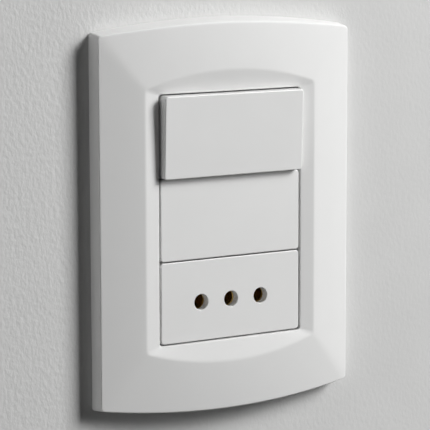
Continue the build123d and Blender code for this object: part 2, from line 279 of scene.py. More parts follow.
def two_tones(tint, low, high):
    """Settings of a mix between a darker and a lighter tone of a linear colour."""
    return {"data_type": "RGBA", 6: shade(tint, low), 7: shade(tint, high)}


def spread(from_low, from_high, to_low, to_high):
    """Settings that map one range of numbers to another."""
    return {"From Min": from_low, "From Max": from_high, "To Min": to_low, "To Max": to_high}


def look_of(tone, sheen=None, bump=None):
    """Links of a shader to its colour, its roughness and its relief."""
    links = {"Base Color": tone.outputs[2]}
    if sheen is not None:
        links["Roughness"] = sheen.outputs["Result"]
    if bump is not None:
        links["Normal"] = bump.outputs["Normal"]
    return links


def surface(tree, shader):
    """Links a shader to the material's output."""
    add_node(tree, "ShaderNodeOutputMaterial", {}, {"Surface": shader.outputs["BSDF"]})


def spark_textured_polycarbonate(settings):
    """Polycarbonate moulded in a spark-eroded tool: a fine satin grain that scatters light.

    The real grain is about 0.15 mm, too fine to show, so it is drawn three times as coarse.
    """
    material, tree, place = new_material("moulded_polycarbonate_spark_textured")
    grain = add_node(
        tree,
        "ShaderNodeTexNoise",
        {"Scale": 1 / settings.grain, "Detail": 3.0, "Roughness": 0.6},
        {"Vector": place},
    )
    cloud = add_node(
        tree, "ShaderNodeTexNoise", {"Scale": 1 / (9 * MM), "Detail": 2.0}, {"Vector": place}
    )
    tone = add_node(
        tree, "ShaderNodeMix", two_tones(settings.tint, 0.985, 1.015), {0: cloud.outputs["Fac"]}
    )
    sheen = add_node(
        tree,
        "ShaderNodeMapRange",
        spread(0.3, 0.7, 0.64, 0.74),
        {"Value": grain.outputs["Fac"]},
    )
    bump = add_node(
        tree,
        "ShaderNodeBump",
        {"Strength": 1.0, "Distance": settings.grain_depth},
        {"Height": grain.outputs["Fac"]},
    )
    shader = add_node(
        tree, "ShaderNodeBsdfPrincipled", {"IOR": 1.585}, look_of(tone, sheen, bump)
    )
    surface(tree, shader)
    return material


def satin_abs(settings):
    """ABS moulded in a fine polished tool: even and satin, with a trace of flow clouding."""
    material, tree, place = new_material("moulded_abs_satin")
    cloud = add_node(
        tree, "ShaderNodeTexNoise", {"Scale": 1 / (12 * MM), "Detail": 2.0}, {"Vector": place}
    )
    fine = add_node(
        tree, "ShaderNodeTexNoise", {"Scale": 1 / (0.3 * MM), "Detail": 2.0}, {"Vector": place}
    )
    tone = add_node(
        tree, "ShaderNodeMix", two_tones(settings.tint, 0.985, 1.012), {0: cloud.outputs["Fac"]}
    )
    sheen = add_node(
        tree,
        "ShaderNodeMapRange",
        spread(0.3, 0.7, 0.36, 0.42),
        {"Value": cloud.outputs["Fac"]},
    )
    bump = add_node(
        tree,
        "ShaderNodeBump",
        {"Strength": 1.0, "Distance": 0.003 * MM},
        {"Height": fine.outputs["Fac"]},
    )
    shader = add_node(
        tree, "ShaderNodeBsdfPrincipled", {"IOR": 1.54}, look_of(tone, sheen, bump)
    )
    surface(tree, shader)
    return material


def glass_filled_polyamide(settings):
    """Polyamide with glass fibre, moulded: grey, with short pale streaks on a matt skin."""
    material, tree, place = new_material("moulded_polyamide_glass_filled")
    stretched = add_node(
        tree, "ShaderNodeMapping", {"Scale": (1.0, 1.0, 0.2)}, {"Vector": place}
    )
    fibres = add_node(
        tree,
        "ShaderNodeTexNoise",
        {"Scale": 1 / (0.35 * MM), "Detail": 4.0, "Roughness": 0.7},
        {"Vector": stretched.outputs["Vector"]},
    )
    tone = add_node(
        tree,
        "ShaderNodeMix",
        two_tones(settings.frame_tint, 0.88, 1.1),
        {0: fibres.outputs["Fac"]},
    )
    bump = add_node(
        tree,
        "ShaderNodeBump",
        {"Strength": 1.0, "Distance": 0.01 * MM},
        {"Height": fibres.outputs["Fac"]},
    )
    shader = add_node(
        tree,
        "ShaderNodeBsdfPrincipled",
        {"IOR": 1.53, "Roughness": 0.6},
        look_of(tone, bump=bump),
    )
    surface(tree, shader)
    return material


def phenolic_resin(settings):
    """Phenolic resin, pressed: dark, with a speckle of wood flour under a dull shine."""
    material, tree, place = new_material("pressed_phenolic_resin")
    speckle = add_node(
        tree, "ShaderNodeTexVoronoi", {"Scale": 1 / (0.5 * MM)}, {"Vector": place}
    )
    dots = add_node(
        tree,
        "ShaderNodeMapRange",
        spread(0.15, 0.4, 1.0, 0.0),
        {"Value": speckle.outputs["Distance"]},
    )
    tone = add_node(
        tree,
        "ShaderNodeMix",
        two_tones(settings.base_tint, 0.92, 1.25),
        {0: dots.outputs["Result"]},
    )
    bump = add_node(
        tree,
        "ShaderNodeBump",
        {"Strength": 1.0, "Distance": 0.005 * MM},
        {"Height": speckle.outputs["Distance"]},
    )
    shader = add_node(
        tree,
        "ShaderNodeBsdfPrincipled",
        {"IOR": 1.6, "Roughness": 0.42},
        look_of(tone, bump=bump),
    )
    surface(tree, shader)
    return material


def acetal(settings):
    """Acetal, moulded: milky and waxy, with light that sinks in a little."""
    material, tree, place = new_material("moulded_acetal")
    cloud = add_node(
        tree, "ShaderNodeTexNoise", {"Scale": 1 / (4 * MM), "Detail": 2.0}, {"Vector": place}
    )
    tone = add_node(
        tree,
        "ShaderNodeMix",
        two_tones(settings.rocker_tint, 0.95, 1.0),
        {0: cloud.outputs["Fac"]},
    )
    shader = add_node(
        tree,
        "ShaderNodeBsdfPrincipled",
        {
            "IOR": 1.48,
            "Roughness": 0.35,
            "Subsurface Weight": 0.3,
            "Subsurface Scale": 0.5 * MM,
        },
        look_of(tone),
    )
    surface(tree, shader)
    return material


def rolled_metal(name, tint, roughness, line_width, along):
    """Rolled metal, pressed or plated afterwards, with long fine lines along one axis."""
    material, tree, place = new_material(name)
    stretch = [1.0, 1.0, 1.0]
    stretch[along] = 0.03
    drawn = add_node(tree, "ShaderNodeMapping", {"Scale": stretch}, {"Vector": place})
    lines = add_node(
        tree,
        "ShaderNodeTexNoise",
        {"Scale": 1 / line_width, "Detail": 3.0},
        {"Vector": drawn.outputs["Vector"]},
    )
    patches = add_node(
        tree, "ShaderNodeTexNoise", {"Scale": 1 / (3 * MM), "Detail": 3.0}, {"Vector": place}
    )
    tone = add_node(
        tree, "ShaderNodeMix", two_tones(tint, 0.82, 1.05), {0: patches.outputs["Fac"]}
    )
    sheen = add_node(
        tree,
        "ShaderNodeMapRange",
        spread(0.3, 0.7, roughness - 0.07, roughness + 0.1),
        {"Value": lines.outputs["Fac"]},
    )
    bump = add_node(
        tree,
        "ShaderNodeBump",
        {"Strength": 1.0, "Distance": 0.003 * MM},
        {"Height": lines.outputs["Fac"]},
    )
    shader = add_node(
        tree, "ShaderNodeBsdfPrincipled", {"Metallic": 1.0}, look_of(tone, sheen, bump)
    )
    surface(tree, shader)
    return material


def painted_plaster(settings):
    """Emulsion paint on skimmed plaster: matt, with stipple that runs out to the right.

    From behind it is clear to the camera, so that the mechanism shows in views from there.
    """
    material, tree, place = new_material("painted_plaster")
    strokes = add_node(
        tree, "ShaderNodeMapping", {"Scale": (1.0, 1.0, 0.7)}, {"Vector": place}
    )
    stipple = add_node(
        tree,
        "ShaderNodeTexNoise",
        {"Scale": 1 / (1.1 * MM), "Detail": 2.0, "Roughness": 0.5},
        {"Vector": strokes.outputs["Vector"]},
    )
    swell = add_node(
        tree, "ShaderNodeTexNoise", {"Scale": 1 / (14 * MM), "Detail": 2.0}, {"Vector": place}
    )
    tone = add_node(
        tree,
        "ShaderNodeMix",
        two_tones(settings.wall_tint, 0.97, 1.03),
        {0: swell.outputs["Fac"]},
    )
    across = add_node(tree, "ShaderNodeSeparateXYZ", {}, {"Vector": place})
    laid_on = add_node(
        tree,
        "ShaderNodeMapRange",
        spread(-45 * MM, 45 * MM, 1.0, 0.4),
        {"Value": across.outputs["X"]},
    )
    bump = add_node(
        tree,
        "ShaderNodeBump",
        {"Distance": 0.16 * MM},
        {"Height": stipple.outputs["Fac"], "Strength": laid_on.outputs["Result"]},
    )
    paint = add_node(
        tree,
        "ShaderNodeBsdfPrincipled",
        {"IOR": 1.5, "Roughness": 0.85},
        look_of(tone, bump=bump),
    )
    clear = add_node(tree, "ShaderNodeBsdfTransparent")
    side = add_node(tree, "ShaderNodeNewGeometry")
    ray = add_node(tree, "ShaderNodeLightPath")
    seen_through = add_node(
        tree,
        "ShaderNodeMath",
        {"operation": "MULTIPLY"},
        {0: side.outputs["Backfacing"], 1: ray.outputs["Is Camera Ray"]},
    )
    both = add_node(
        tree,
        "ShaderNodeMixShader",
        {},
        {0: seen_through.outputs[0], 1: paint.outputs["BSDF"], 2: clear.outputs["BSDF"]},
    )
    add_node(tree, "ShaderNodeOutputMaterial", {}, {"Surface": both.outputs["Shader"]})
    return material


class Arc:
    """The circle arc through three points."""

    def __init__(self, start, middle, end):
        first = middle - start
        second = end - start
        normal = first.cross(second)
        self.centre = start + (
            normal.cross(first) * second.length_squared
            + second.cross(normal) * first.length_squared
        ) / (2 * normal.length_squared)
        self.along = start - self.centre
        self.across = normal.normalized().cross(self.along)
        reach = end - self.centre
        self.angle = math.atan2(reach.dot(self.across), reach.dot(self.along)) % math.tau

    def at(self, share):
        """The point at a share of the way; outside 0 to 1 it goes on along the circle."""
        turn = self.angle * share
        return self.centre + self.along * math.cos(turn) + self.across * math.sin(turn)


class PlateLine:
    """One closed line round the plate: two straight sides and two arched ends."""

    SIDE_STEPS = 36
    END_STEPS = 54
    CORNER_STEPS = 10

    def __init__(self, half_width, corner_z, apex_z, side_out, crown, radius):
        self.half_width = half_width
        self.corner_z = corner_z
        self.side_out = side_out
        self.radius = radius
        self.left = Vector((-half_width, -side_out, corner_z))
        self.right = Vector((half_width, -side_out, corner_z))
        middle = Vector((0, -side_out - crown, apex_z))
        straight = apex_z == corner_z and not crown
        self.top = None if straight else Arc(self.left, middle, self.right)

    def end_point(self, share):
        """A point of the top arch, from left to right."""
        return self.top.at(share) if self.top else self.left.lerp(self.right, share)

    def ring(self):
        """All points of the line: up the left side, along the top, down and back."""
        side_reach = self.corner_z - self.radius
        end_reach = self.half_width - self.radius
        side = [
            Vector((-self.half_width, -self.side_out, -side_reach * cosine))
            for cosine in cosines(self.SIDE_STEPS)
        ]
        top = [
            self.end_point(0.5 - 0.5 * end_reach / self.half_width * cosine)
            for cosine in cosines(self.END_STEPS)
        ]
        corner = [
            on_conic(side[-1], self.left, top[0], math.sqrt(0.5), share)
            for share in shares(self.CORNER_STEPS)[1:-1]
        ]
        quarter = side[self.SIDE_STEPS // 2 :] + corner + top[: self.END_STEPS // 2 + 1]
        ring = quarter + [flipped(point, -1, 1) for point in quarter[-2::-1]]
        ring += [flipped(point, 1, -1) for point in ring[-2:0:-1]]
        return ring


def shares(steps):
    """Even shares from 0 to 1."""
    return [i / steps for i in range(steps + 1)]


def cosines(steps):
    """Numbers from 1 to -1, closer together at both ends."""
    return [math.cos(math.pi * share) for share in shares(steps)]


def flipped(point, sign_x, sign_z):
    """A point mirrored in X, in Z or in both."""
    return Vector((sign_x * point.x, point.y, sign_z * point.z))


def on_conic(start, tip, end, weight, share):
    """A point of the conic from start to end that is drawn towards tip."""
    a = (1 - share) ** 2
    b = 2 * weight * share * (1 - share)
    c = share**2
    return (start * a + tip * b + end * c) / (a + b + c)


def rounded(before, tip, after, radius, steps):
    """Points of the arc that rounds the corner at tip."""
    back = (before - tip).normalized()
    onward = (after - tip).normalized()
    turn = math.pi - back.angle(onward)
    reach = radius * math.tan(turn / 2)
    start = tip + back * reach
    end = tip + onward * reach
    return [on_conic(start, tip, end, math.cos(turn / 2), share) for share in shares(steps)]


def between(start, end, steps):
    """Points that divide a straight run, without its two ends."""
    return [start.lerp(end, i / steps) for i in range(1, steps)]


def smooth_least(a, b, width):
    """The lesser of two heights, blended where they differ by less than width."""
    gap = max(width - abs(a - b), 0.0)
    return min(a, b) - gap * gap / (4 * width)


class Slope:
    """One band of the plate's face, ruled from an outer to an inner line."""

    # The ruling through a point is searched between these shares of the arches
    SEARCHES = 26
    FIRST_SHARE = 0.5
    LAST_SHARE = 1.25

    def __init__(self, outer, inner, swell):
        self.outer = outer
        self.inner = inner
        self.swell = swell

    def side_height(self, x):
        """Height of the band's left and right faces over the wall."""
        width = self.outer.half_width - self.inner.half_width
        share = (self.outer.half_width - x) / width
        rise = self.inner.side_out - self.outer.side_out
        return self.outer.side_out + rise * share + 4 * self.swell * share * (1 - share)

    def end_height(self, x, z):
        """Height of the band's top and bottom faces, on the ruling through the point."""
        low, high = self.FIRST_SHARE, self.LAST_SHARE
        for _ in range(self.SEARCHES):
            share = (low + high) / 2
            start = self.outer.end_point(share)
            end = self.inner.end_point(share)
            dx = end.x - start.x
            dz = end.z - start.z
            if dx * (z - start.z) - dz * (x - start.x) > 0:
                low = share
            else:
                high = share
        part = ((x - start.x) * dx + (z - start.z) * dz) / (dx * dx + dz * dz)
        height = -(start.y + (end.y - start.y) * part)
        return height + 4 * self.swell * part * (1 - part)


class PlateFace:
    """The plate's front as a height over the wall, with soft folds and a soft ridge."""

    # How far from a corner the turn of its fold is measured
    PROBE = 0.5 * MM

    def __init__(self, lines, settings):
        rim, ridge, opening = lines[1:]
        self.rim = rim
        self.ridge = ridge
        self.slope = Slope(rim, ridge, settings.swell)
        self.bevel = Slope(ridge, opening, 0.0)
        self.fold_outer = settings.fold_outer
        self.fold_inner = settings.fold_inner
        self.ridge_blend = settings.ridge_blend
        self.slope_turn = self.turn_at(self.slope, rim)
        self.bevel_turn = self.turn_at(self.bevel, opening)
        slope_width = rim.half_width - ridge.half_width
        bevel_width = ridge.half_width - opening.half_width
        slope_rise = (ridge.side_out - rim.side_out) / slope_width
        bevel_fall = (ridge.side_out - opening.side_out) / bevel_width
        self.ridge_turn = slope_rise + bevel_fall

    def turn_at(self, band, line):
        """How fast the end face leaves the side face across the fold, at a line's corner."""
        x = line.half_width - self.PROBE
        z = line.corner_z + self.PROBE
        return abs(band.side_height(x) - band.end_height(x, z)) / (self.PROBE * math.sqrt(2))

    def height(self, x, z):
        """Height of the front over the wall."""
        x = abs(x)
        z = abs(z)
        span = self.rim.half_width - self.ridge.half_width
        share = min(max((self.rim.half_width - x) / span, 0.0), 1.0)
        fold = self.fold_outer + (self.fold_inner - self.fold_outer) * share
        slope = smooth_least(
            self.slope.side_height(x),
            self.slope.end_height(x, z),
            fold * self.slope_turn,
        )
        bevel = -smooth_least(
            -self.bevel.side_height(x),
            -self.bevel.end_height(x, z),
            self.fold_inner * self.bevel_turn,
        )
        return smooth_least(slope, bevel, self.ridge_blend * self.ridge_turn)

    def dropped(self, point):
        """The point on the front that lies over the same place of the wall."""
        return Vector((point.x, -self.height(point.x, point.z), point.z))


def plate_lines(settings, inset=0.0):
    """The plate's four lines, with its sides moved in and its face moved back by inset."""
    least_corner = 0.3 * MM
    half = HALF_PLATE[0] - inset
    apex = HALF_PLATE[2] - inset
    rim_apex = apex - settings.draft
    ridge_apex = settings.ridge_height / 2
    opening_z = settings.opening_height / 2
    corner = max(settings.corner_radius - inset, least_corner)
    return [
        PlateLine(half, apex - settings.arch, apex, 0.0, 0.0, corner),
        PlateLine(
            half - settings.draft,
            rim_apex - settings.arch,
            rim_apex,
            settings.rim_out - inset,
            settings.rim_crown,
            corner,
        ),
        PlateLine(
            settings.ridge_width / 2,
            ridge_apex - settings.ridge_arch,
            ridge_apex,
            settings.ridge_out - inset,
            settings.ridge_crown,
            settings.ridge_corner,
        ),
        PlateLine(
            settings.opening_width / 2,
            opening_z,
            opening_z,
            settings.opening_out - inset,
            settings.opening_crown,
            settings.opening_corner,
        ),
    ]


def grid_faces(bm, columns, closed):
    """Faces between columns of points, round and round; each column may be closed too."""
    rows = [[bm.verts.new(point) for point in column] for column in columns]
    for column, after in zip(rows, rows[1:] + rows[:1]):
        last = len(column) if closed else len(column) - 1
        for i in range(last):
            j = (i + 1) % len(column)
            bm.faces.new((column[i], column[j], after[j], after[i]))


def prism(bm, outline, z0, z1):
    """A prism along Z on an outline of X and Y."""
    low = [bm.verts.new((x, y, z0)) for x, y in outline]
    high = [bm.verts.new((x, y, z1)) for x, y in outline]
    bm.faces.new(low)
    bm.faces.new(high[::-1])
    for i in range(len(outline)):
        j = (i + 1) % len(outline)
        bm.faces.new((low[i], high[i], high[j], low[j]))


def to_object(name, bm):
    """An object made of a bmesh, with its faces turned outwards."""
    bmesh.ops.recalc_face_normals(bm, faces=bm.faces)
    mesh = bpy.data.meshes.new(name)
    bm.to_mesh(mesh)
    bm.free()
    piece = bpy.data.objects.new(name, mesh)
    bpy.context.scene.collection.objects.link(piece)
    return piece


def joined(piece, bm, operation):
    """Adds a bmesh to a piece, or cuts it out of it."""
    tool = to_object("tool", bm)
    cut = piece.modifiers.new("join", "BOOLEAN")
    cut.operation = operation
    cut.solver = "EXACT"
    cut.object = tool
    view = bpy.context.evaluated_depsgraph_get()
    made = bpy.data.meshes.new_from_object(piece.evaluated_get(view))
    piece.modifiers.clear()
    old = piece.data
    piece.data = made
    bpy.data.meshes.remove(old)
    bpy.data.objects.remove(tool)
    made.name = piece.name


def finish_piece(piece, material, body, slot, *nodes, smooth_angle=35.0):
    """Gives a piece its shading, finish and body, and hides the nodes it stands for; the slot
    is not used.
    """
    piece.data.materials.clear()
    piece.data.materials.append(material)
    for polygon in piece.data.polygons:
        polygon.use_smooth = True
    piece.data.set_sharp_from_angle(angle=math.radians(smooth_angle))
    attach(piece, body)
    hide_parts(*nodes)


def smooth_share(value, start, width):
    """How far a value is past start, from 0 to 1 over the width, with a soft start and end."""
    share = min(max((value - start) / width, 0.0), 1.0)
    return share * share * (3 - 2 * share)


def plate_section(settings, front, outer, inner):
    """Points of the shell's section at one place, from the wall over the front and back."""
    wall, rim, ridge, opening = outer
    wall_in, rim_in, ridge_in, opening_in = inner
    edge = settings.opening_edge
    top_start = front.rim.corner_z - settings.top_before
    top_share = smooth_share(rim.z, top_start, settings.top_fade)
    rim_radius = settings.rim_radius + (settings.top_radius - settings.rim_radius) * top_share
    rim = front.dropped(rim - Vector((0, 0, settings.top_lean * top_share)))
    ridge = front.dropped(ridge)
    opening = front.dropped(opening)
    slope = ridge - rim
    bevel = opening - ridge
    # The steps bunch up on the ridge, and leave room for the arcs at rim and opening
    half_ridge = 1.2 * settings.ridge_blend
    past_rim = front.dropped(rim + slope * (1.6 * rim_radius / slope.length))
    before_ridge = ridge - slope * (half_ridge / slope.length)
    after_ridge = ridge + bevel * (half_ridge / bevel.length)
    before_edge = ridge + bevel * (1 - 3 * edge / bevel.length)
    rim_arc = rounded(wall, rim, past_rim, rim_radius, RIM_STEPS)
    section = rounded(wall_in, wall, rim, settings.foot_radius, FOOT_STEPS)
    section += between(section[-1], rim_arc[0], SIDE_RISE_STEPS) + rim_arc
    for start, end, steps in (
        (past_rim, before_ridge, SLOPE_STEPS),
        (before_ridge, after_ridge, RIDGE_STEPS),
        (after_ridge, before_edge, BEVEL_STEPS),
    ):
        section += [front.dropped(point) for point in [start] + between(start, end, steps)]
    before_edge = front.dropped(before_edge)
    section.append(before_edge)
    section += rounded(before_edge, opening, opening_in, edge, EDGE_STEPS) + [opening_in]
    section += between(opening_in, ridge_in, INNER_BEVEL_STEPS) + [ridge_in]
    section += between(ridge_in, rim_in, INNER_SLOPE_STEPS) + [rim_in, wall_in]
    return section


def hook_outline(side):
    """Section of a snap hook on one side: a stem, and a barb that points to the middle."""
    stem_in = 24.6 * MM
    stem_out = 26.1 * MM
    barb = 0.6 * MM
    chamfer = 0.2 * MM
    # Heights over the wall; both roots end inside the shell
    root_in = 5.1 * MM
    root_out = 5.2 * MM
    catch = 3.5 * MM
    nose = 3.1 * MM
    tip = 2.6 * MM
    outline = (
        (stem_in, root_in),
        (stem_in, catch),
        (stem_in - barb, catch),
        (stem_in - barb, nose),
        (stem_in + chamfer, tip),
        (stem_out - chamfer, tip),
        (stem_out, tip + chamfer),
        (stem_out, root_out),
    )
    return [(side * x, -height) for x, height in outline]


class SWITCHSET_OT_cover_plate(Operator):
    """Build the cover plate with its soft ridge and folds, rounded rim and snap hooks"""

    bl_idname = "switchset.cover_plate"
    bl_label = "Cover plate"

    def execute(self, context):
        settings = context.scene.switchset.plate
        lines = plate_lines(settings)
        front = PlateFace(lines, settings)
        outer = [line.ring() for line in lines]
        inner = [line.ring() for line in plate_lines(settings, settings.wall)]
        sections = [
            plate_section(settings, front, *points)
            for points in zip(zip(*outer), zip(*inner))
        ]
        bm = bmesh.new()
        grid_faces(bm, sections, closed=True)
        bmesh.ops.remove_doubles(bm, verts=bm.verts, dist=GRID_WELD)
        piece = to_object("cover_plate_shell", bm)
        bm = bmesh.new()
        half = settings.hook_length / 2
        for side in (-1, 1):
            for end in (-1, 1):
                middle = end * settings.hook_spacing / 2
                prism(bm, hook_outline(side), middle - half, middle + half)
        joined(piece, bm, "UNION")
        plastic = spark_textured_polycarbonate(settings)
        finish_piece(piece, plastic, "root", "plate_plastic", "cover_plate")
        return {"FINISHED"}


def body_of(node):
    """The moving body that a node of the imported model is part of."""
    bodies = frame["record"]["behaviour"]["bodies"]
    return next(body for body, members in bodies.items() if node in members)


def slot_of(node):
    """The finish that the record gives to a node."""
    subparts = frame["record"]["subparts"]
    return next(entry["material_slot"] for entry in subparts if entry["node"] == node)


def soft_copy(node, name, edge, material, reshape=None):
    """Stands for a node with a copy of it that has clean flat faces and soft edges."""
    flat = math.radians(0.5)
    sharp = math.radians(40)
    bm = bmesh.new()
    bm.from_mesh(frame["nodes"][node].data)
    bmesh.ops.remove_doubles(bm, verts=bm.verts, dist=NODE_WELD)
    bmesh.ops.dissolve_limit(bm, angle_limit=flat, verts=bm.verts, edges=bm.edges)
    if reshape:
        reshape(bm)
    piece = to_object(name, bm)
    if edge:
        soft = piece.modifiers.new("soft_edges", "BEVEL")
        soft.width = edge
        soft.segments = 2
        soft.limit_method = "ANGLE"
        soft.angle_limit = sharp
    even = piece.modifiers.new("even_shading", "WEIGHTED_NORMAL")
    even.keep_sharp = True
    finish_piece(piece, material, body_of(node), slot_of(node), node)


def round_pin_holes(bm, radius):
    """Rounds the rims of the holes in the socket's front face."""
    square = math.radians(60)
    front = min(vert.co.y for vert in bm.verts)
    rims = [
        edge
        for edge in bm.edges
        if all(abs(vert.co.y - front) < NODE_WELD for vert in edge.verts)
        and edge.calc_face_angle(0) > square
    ]
    bmesh.ops.bevel(
        bm,
        geom=rims,
        offset=radius,
        segments=3,
        profile=0.5,
        affect="EDGES",
        clamp_overlap=False,
    )


def lower_top(bm, gap):
    """Moves the socket's top face down by the gap."""
    on_top = max(vert.co.z for vert in bm.verts) - 0.01 * MM
    for vert in bm.verts:
        if vert.co.z > on_top:
            vert.co.z -= gap


def raise_top(bm, rise):
    """Stretches the key's upper half until its top is higher by the rise."""
    heights = [vert.co.z for vert in bm.verts]
    top = max(heights)
    middle = (min(heights) + top) / 2
    for vert in bm.verts:
        share = (vert.co.z - middle) / (top - middle)
        vert.co.z += rise * max(share, 0.0)


class SWITCHSET_OT_modules(Operator):
    """Build the key, blank, casings, rear covers, frame and rocker with soft edges"""

    bl_idname = "switchset.modules"
    bl_label = "Modules and frame"

    def execute(self, context):
        settings = context.scene.switchset.modules
        white = satin_abs(settings)
        grey = glass_filled_polyamide(settings)
        dark = phenolic_resin(settings)
        milky = acetal(settings)

        def shape_key(bm):
            raise_top(bm, settings.key_rise)

        def shape_socket(bm):
            round_pin_holes(bm, settings.hole_edge)
            lower_top(bm, settings.joint_gap)

        soft_copy("switch_key", "switch_key_cap", 0.0, white, shape_key)
        soft_copy("blank_module", "blank_casing", 0.0, white)
        soft_copy("socket_housing", "socket_casing", 0.0, white, shape_socket)
        soft_copy("switch_housing", "switch_casing", 0.12 * MM, white)
        soft_copy("switch_base", "switch_rear_cover", 0.3 * MM, dark)
        soft_copy("socket_base", "socket_rear_cover", 0.3 * MM, dark)
        soft_copy("mounting_frame", "frame_moulding", 0.15 * MM, grey)
        soft_copy("switch_rocker", "rocker_lever", 0.12 * MM, milky)
        soft_copy("rocker_plunger", "plunger_pin", 0.0, milky)
        return {"FINISHED"}


class SWITCHSET_OT_contacts(Operator):
    """Build the brass contacts, the clamp plates and the spring"""

    bl_idname = "switchset.contacts"
    bl_label = "Contacts and spring"

    def execute(self, context):
        metal = context.scene.switchset.metal
        # Brass strip, rolled and stamped: warm, with faint rolling lines
        brass = rolled_metal("stamped_brass", metal.brass_tint, 0.28, 0.12 * MM, 0)
        # Steel strip, zinc plated: pale grey with a cloudy, slightly dull shine
        zinc = rolled_metal("zinc_plated_steel_strip", metal.zinc_tint, 0.38, 0.3 * MM, 0)
        for node, name in (
            ("moving_contact", "rocking_strip"),
            ("common_terminal", "common_strap"),
            ("upper_fixed_contact", "upper_strap"),
            ("lower_fixed_contact", "lower_strap"),
            ("left_pin_contact", "left_pin_sleeve"),
            ("earth_pin_contact", "earth_pin_sleeve"),
            ("right_pin_contact", "right_pin_sleeve"),
        ):
            soft_copy(node, name, 0.08 * MM, brass)
        soft_copy("switch_clamp_plates", "switch_clamps", 0.1 * MM, zinc)
        soft_copy("socket_clamp_plates", "socket_clamps", 0.1 * MM, zinc)
        soft_copy("plunger_spring", "plunger_coil", 0.0, zinc)
        return {"FINISHED"}


def lathe_profile(points, step):
    """Distances along the axis with their radii, with the straight runs divided."""
    rows = [points[0]]
    for start, end in zip(points, points[1:]):
        count = max(1, round(abs(end[0] - start[0]) / step))
        for i in range(1, count + 1):
            share = i / count
            rows.append(tuple(a + (b - a) * share for a, b in zip(start, end)))
    return rows


def screw(bm, x, z, points, thread, pitch, depth):
    """A screw along Y: a turned profile whose run between two places carries a thread."""
    columns = 40
    rows_per_turn = 8
    start, end = thread
    rows = lathe_profile(points, pitch / rows_per_turn)
    ring = []
    for i in range(columns):
        angle = math.tau * i / columns
        column = []
        for y, radius in rows:
            if min(start, end) <= y <= max(start, end):
                turn = (y / pitch + i / columns) % 1.0
                fade = min(1.0, abs(y - start) / pitch, abs(y - end) / pitch)
                radius -= depth * fade * abs(2 * turn - 1)
            column.append(
                Vector((x + radius * math.cos(angle), y, z + radius * math.sin(angle)))
            )
        ring.append(column)
    grid_faces(bm, ring, closed=False)
    bmesh.ops.remove_doubles(bm, verts=bm.verts, dist=GRID_WELD)


def slot_cut(bm, x, z, width, y0, y1, height):
    """A box from y0 to y1 that cuts a screw's slot, along X."""
    outline = [
        (x - width / 2, y0), (x + width / 2, y0), (x + width / 2, y1), (x - width / 2, y1),
    ]
    prism(bm, outline, z - height / 2, z + height / 2)


def screw_set(node, name, material, turned, thread, pitch, depth, places, slot):
    """Several like screws as one piece, each with its thread and slot."""
    bm = bmesh.new()
    cuts = bmesh.new()
    for x, z in places:
        screw(bm, x, z, turned, thread, pitch, depth)
        slot_cut(cuts, x, z, *slot)
    piece = to_object(name, bm)
    joined(piece, cuts, "DIFFERENCE")
    finish_piece(piece, material, "root", "steel", node, smooth_angle=50.0)


class SWITCHSET_OT_screws(Operator):
    """Build the box screws and the terminal screws with threads, heads and slots"""

    bl_idname = "switchset.screws"
    bl_label = "Screws"

    def execute(self, context):
        metal = context.scene.switchset.metal
        # Steel wire, cold headed, thread rolled and zinc plated: pale grey, slightly dull
        zinc = rolled_metal("zinc_plated_steel_wire", metal.zinc_tint, 0.36, 0.3 * MM, 1)
        self.box_screws(metal, zinc)
        self.terminal_screws(metal, zinc, "switch_terminal_screws", "switch_screws")
        self.terminal_screws(metal, zinc, "socket_terminal_screws", "socket_screws")
        return {"FINISHED"}

    @staticmethod
    def box_screws(metal, zinc):
        """The two screws into the wall box: a low domed head, a neck and a long shank."""
        low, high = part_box("fixing_screws")
        radius = (high[0] - low[0]) / 2
        spacing = high[2] - low[2] - 2 * radius
        front = low[1]
        tip = high[1]
        seat = front + 2.0 * MM
        neck_end = seat + 2.5 * MM
        neck = 1.5 * MM
        shank = 1.75 * MM
        point = 0.5 * MM
        rounding = 0.1 * MM
        slot_depth = 1.1 * MM
        slot_width = 0.9 * MM
        thread_end = tip - 0.3 * MM
        # The head's rounding: how far behind its face and in from its side, in mm
        dome = ((0.0, 0.8), (0.12, 0.4), (0.4, 0.12), (0.8, 0.0))
        profile = [(front, 0.0)]
        profile += [(front + behind * MM, radius - inside * MM) for behind, inside in dome]
        profile += [
            (seat - rounding, radius),
            (seat, radius - rounding),
            (seat, neck),
            (neck_end, neck),
            (neck_end, shank),
            (tip - point, shank),
            (tip, shank - point),
            (tip, 0.0),
        ]
        screw_set(
            "fixing_screws",
            "box_screws",
            zinc,
            profile,
            (neck_end, thread_end),
            metal.box_pitch,
            metal.thread_depth,
            [(0.0, spacing / 2), (0.0, -spacing / 2)],
            (2.2 * radius, front - SLOT_PAST, front + slot_depth, slot_width),
        )

    @staticmethod
    def terminal_screws(metal, zinc, node, name):
        """Three screws in a row, with round heads at the back and threads to the front."""
        low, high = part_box(node)
        radius = (high[2] - low[2]) / 2
        middle = (high[2] + low[2]) / 2
        reach = high[0] - radius
        front = low[1]
        back = high[1]
        seat = back - 2.0 * MM
        shank = 1.5 * MM
        slot_depth = 1.0 * MM
        slot_width = 0.8 * MM
        dome = ((0.0, 0.5), (0.12, 0.2), (0.5, 0.0))
        profile = [(back, 0.0)]
        profile += [(back - behind * MM, radius - inside * MM) for behind, inside in dome]
        profile += [(seat, radius), (seat, shank), (front, shank), (front, 0.0)]
        screw_set(
            node,
            name,
            zinc,
            profile,
            (seat, front),
            metal.terminal_pitch,
            metal.thread_depth,
            [(-reach, middle), (0.0, middle), (reach, middle)],
            (2.2 * radius, back - slot_depth, back + SLOT_PAST, slot_width),
        )


def aimed(place, target):
    """A rotation that looks from one point to another, upright."""
    return (Vector(target) - Vector(place)).to_track_quat("-Z", "Y")


